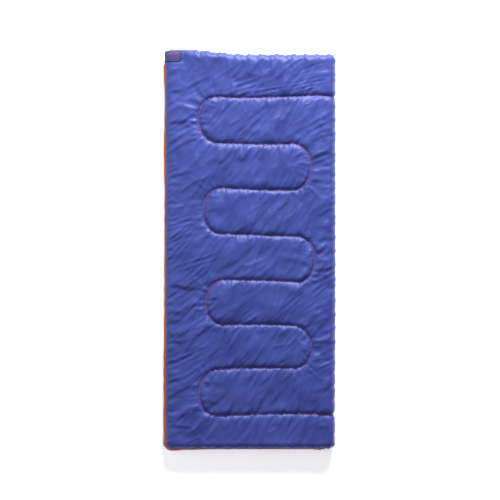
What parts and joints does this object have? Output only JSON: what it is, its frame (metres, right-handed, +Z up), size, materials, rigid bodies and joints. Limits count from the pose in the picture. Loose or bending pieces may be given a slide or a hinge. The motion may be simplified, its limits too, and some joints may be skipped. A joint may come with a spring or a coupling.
{
  "type": "rectangular sleeping bag",
  "caption": "Rectangular quilted sleeping bag with a serpentine seam, an L-shaped coil zip round the side and foot, and a closure tab at the head.",
  "frame": {"origin": "on the ground, at the middle of the closed bag's footprint", "axes": "+Z up, +Y towards the head end, +X towards the folded side; the zip runs down the -X side and along the -Y foot"},
  "size_m": [0.815, 1.9, 0.0762],
  "materials": {
    "shell_fabric": "satin blue ripstop-weight polyester, lightly calendered",
    "lining_fabric": "matt orange brushed polyester",
    "batting": "white hollow-fibre wadding",
    "quilting_thread": "orange-red polyester thread",
    "zip_tape": "orange woven polyester tape",
    "zip_coil": "orange polyester monofilament coil",
    "slider_paint": "orange enamelled zinc die casting",
    "stop_metal": "plain aluminium",
    "retainer_plastic": "orange moulded acetal",
    "tab_webbing": "blue ribbed polyester webbing",
    "tab_binding": "black grosgrain binding",
    "hook_and_loop": "black hook and loop fastening"
  },
  "bodies": {
    "lower_half": {"lower_shell": "shell_fabric", "lower_batting": "batting", "lower_lining": "lining_fabric", "lower_quilting_thread": "quilting_thread", "zip_tape_lower": "zip_tape", "zip_coil_lower": "zip_coil", "zip_top_stop_lower": "stop_metal", "zip_retainer_box": "retainer_plastic", "loop_patch": "hook_and_loop", "side_fold": "shell_fabric"},
    "upper_half": {"upper_shell": "shell_fabric", "upper_batting": "batting", "upper_lining": "lining_fabric", "upper_quilting_thread": "quilting_thread", "zip_tape_upper": "zip_tape", "zip_coil_upper": "zip_coil", "zip_top_stop_upper": "stop_metal", "zip_insertion_pin": "retainer_plastic"},
    "closure_tab": {"tab_webbing": "tab_webbing", "tab_binding": "tab_binding", "tab_zigzag_stitch": "quilting_thread", "tab_hook_patch": "hook_and_loop"},
    "head_slider": {"head_slider_body": "slider_paint", "head_slider_outer_bail": "slider_paint", "head_slider_inner_bail": "slider_paint"},
    "head_outer_pull": {"head_pull_outer": "slider_paint"},
    "head_inner_pull": {"head_pull_inner": "slider_paint"},
    "foot_slider": {"foot_slider_body": "slider_paint", "foot_slider_bail": "slider_paint"},
    "foot_outer_pull": {"foot_pull": "slider_paint"}
  },
  "joints": [
    {"name": "side_fold_hinge", "type": "hinge", "parent": "lower_half", "child": "upper_half", "pos_m": [0.4028, 0, 0.037], "axis": [0, 1, 0], "range_deg": [0, 180]},
    {"name": "tab_lift", "type": "hinge", "parent": "upper_half", "child": "closure_tab", "pos_m": [-0.3232, 0.9165, 0.0762], "axis": [0, 1, 0], "range_deg": [0, 150]},
    {"name": "head_slider_run", "type": "slide", "parent": "lower_half", "child": "head_slider", "axis": [0, -1, 0], "range_m": [0, 1.7667]},
    {"name": "head_outer_pull_swing", "type": "hinge", "parent": "head_slider", "child": "head_outer_pull", "pos_m": [-0.40525, 0.877, 0.037], "axis": [0, 0, -1], "range_deg": [0, 150]},
    {"name": "head_inner_pull_swing", "type": "hinge", "parent": "head_slider", "child": "head_inner_pull", "pos_m": [-0.39715, 0.877, 0.037], "axis": [0, 0, 1], "range_deg": [0, 150]},
    {"name": "foot_slider_run", "type": "slide", "parent": "lower_half", "child": "foot_slider", "axis": [-1, 0, 0], "range_m": [0, 0.68]},
    {"name": "foot_pull_swing", "type": "hinge", "parent": "foot_slider", "child": "foot_outer_pull", "pos_m": [0.3328, -0.94775, 0.037], "axis": [0, 0, 1], "range_deg": [0, 150]}
  ]
}
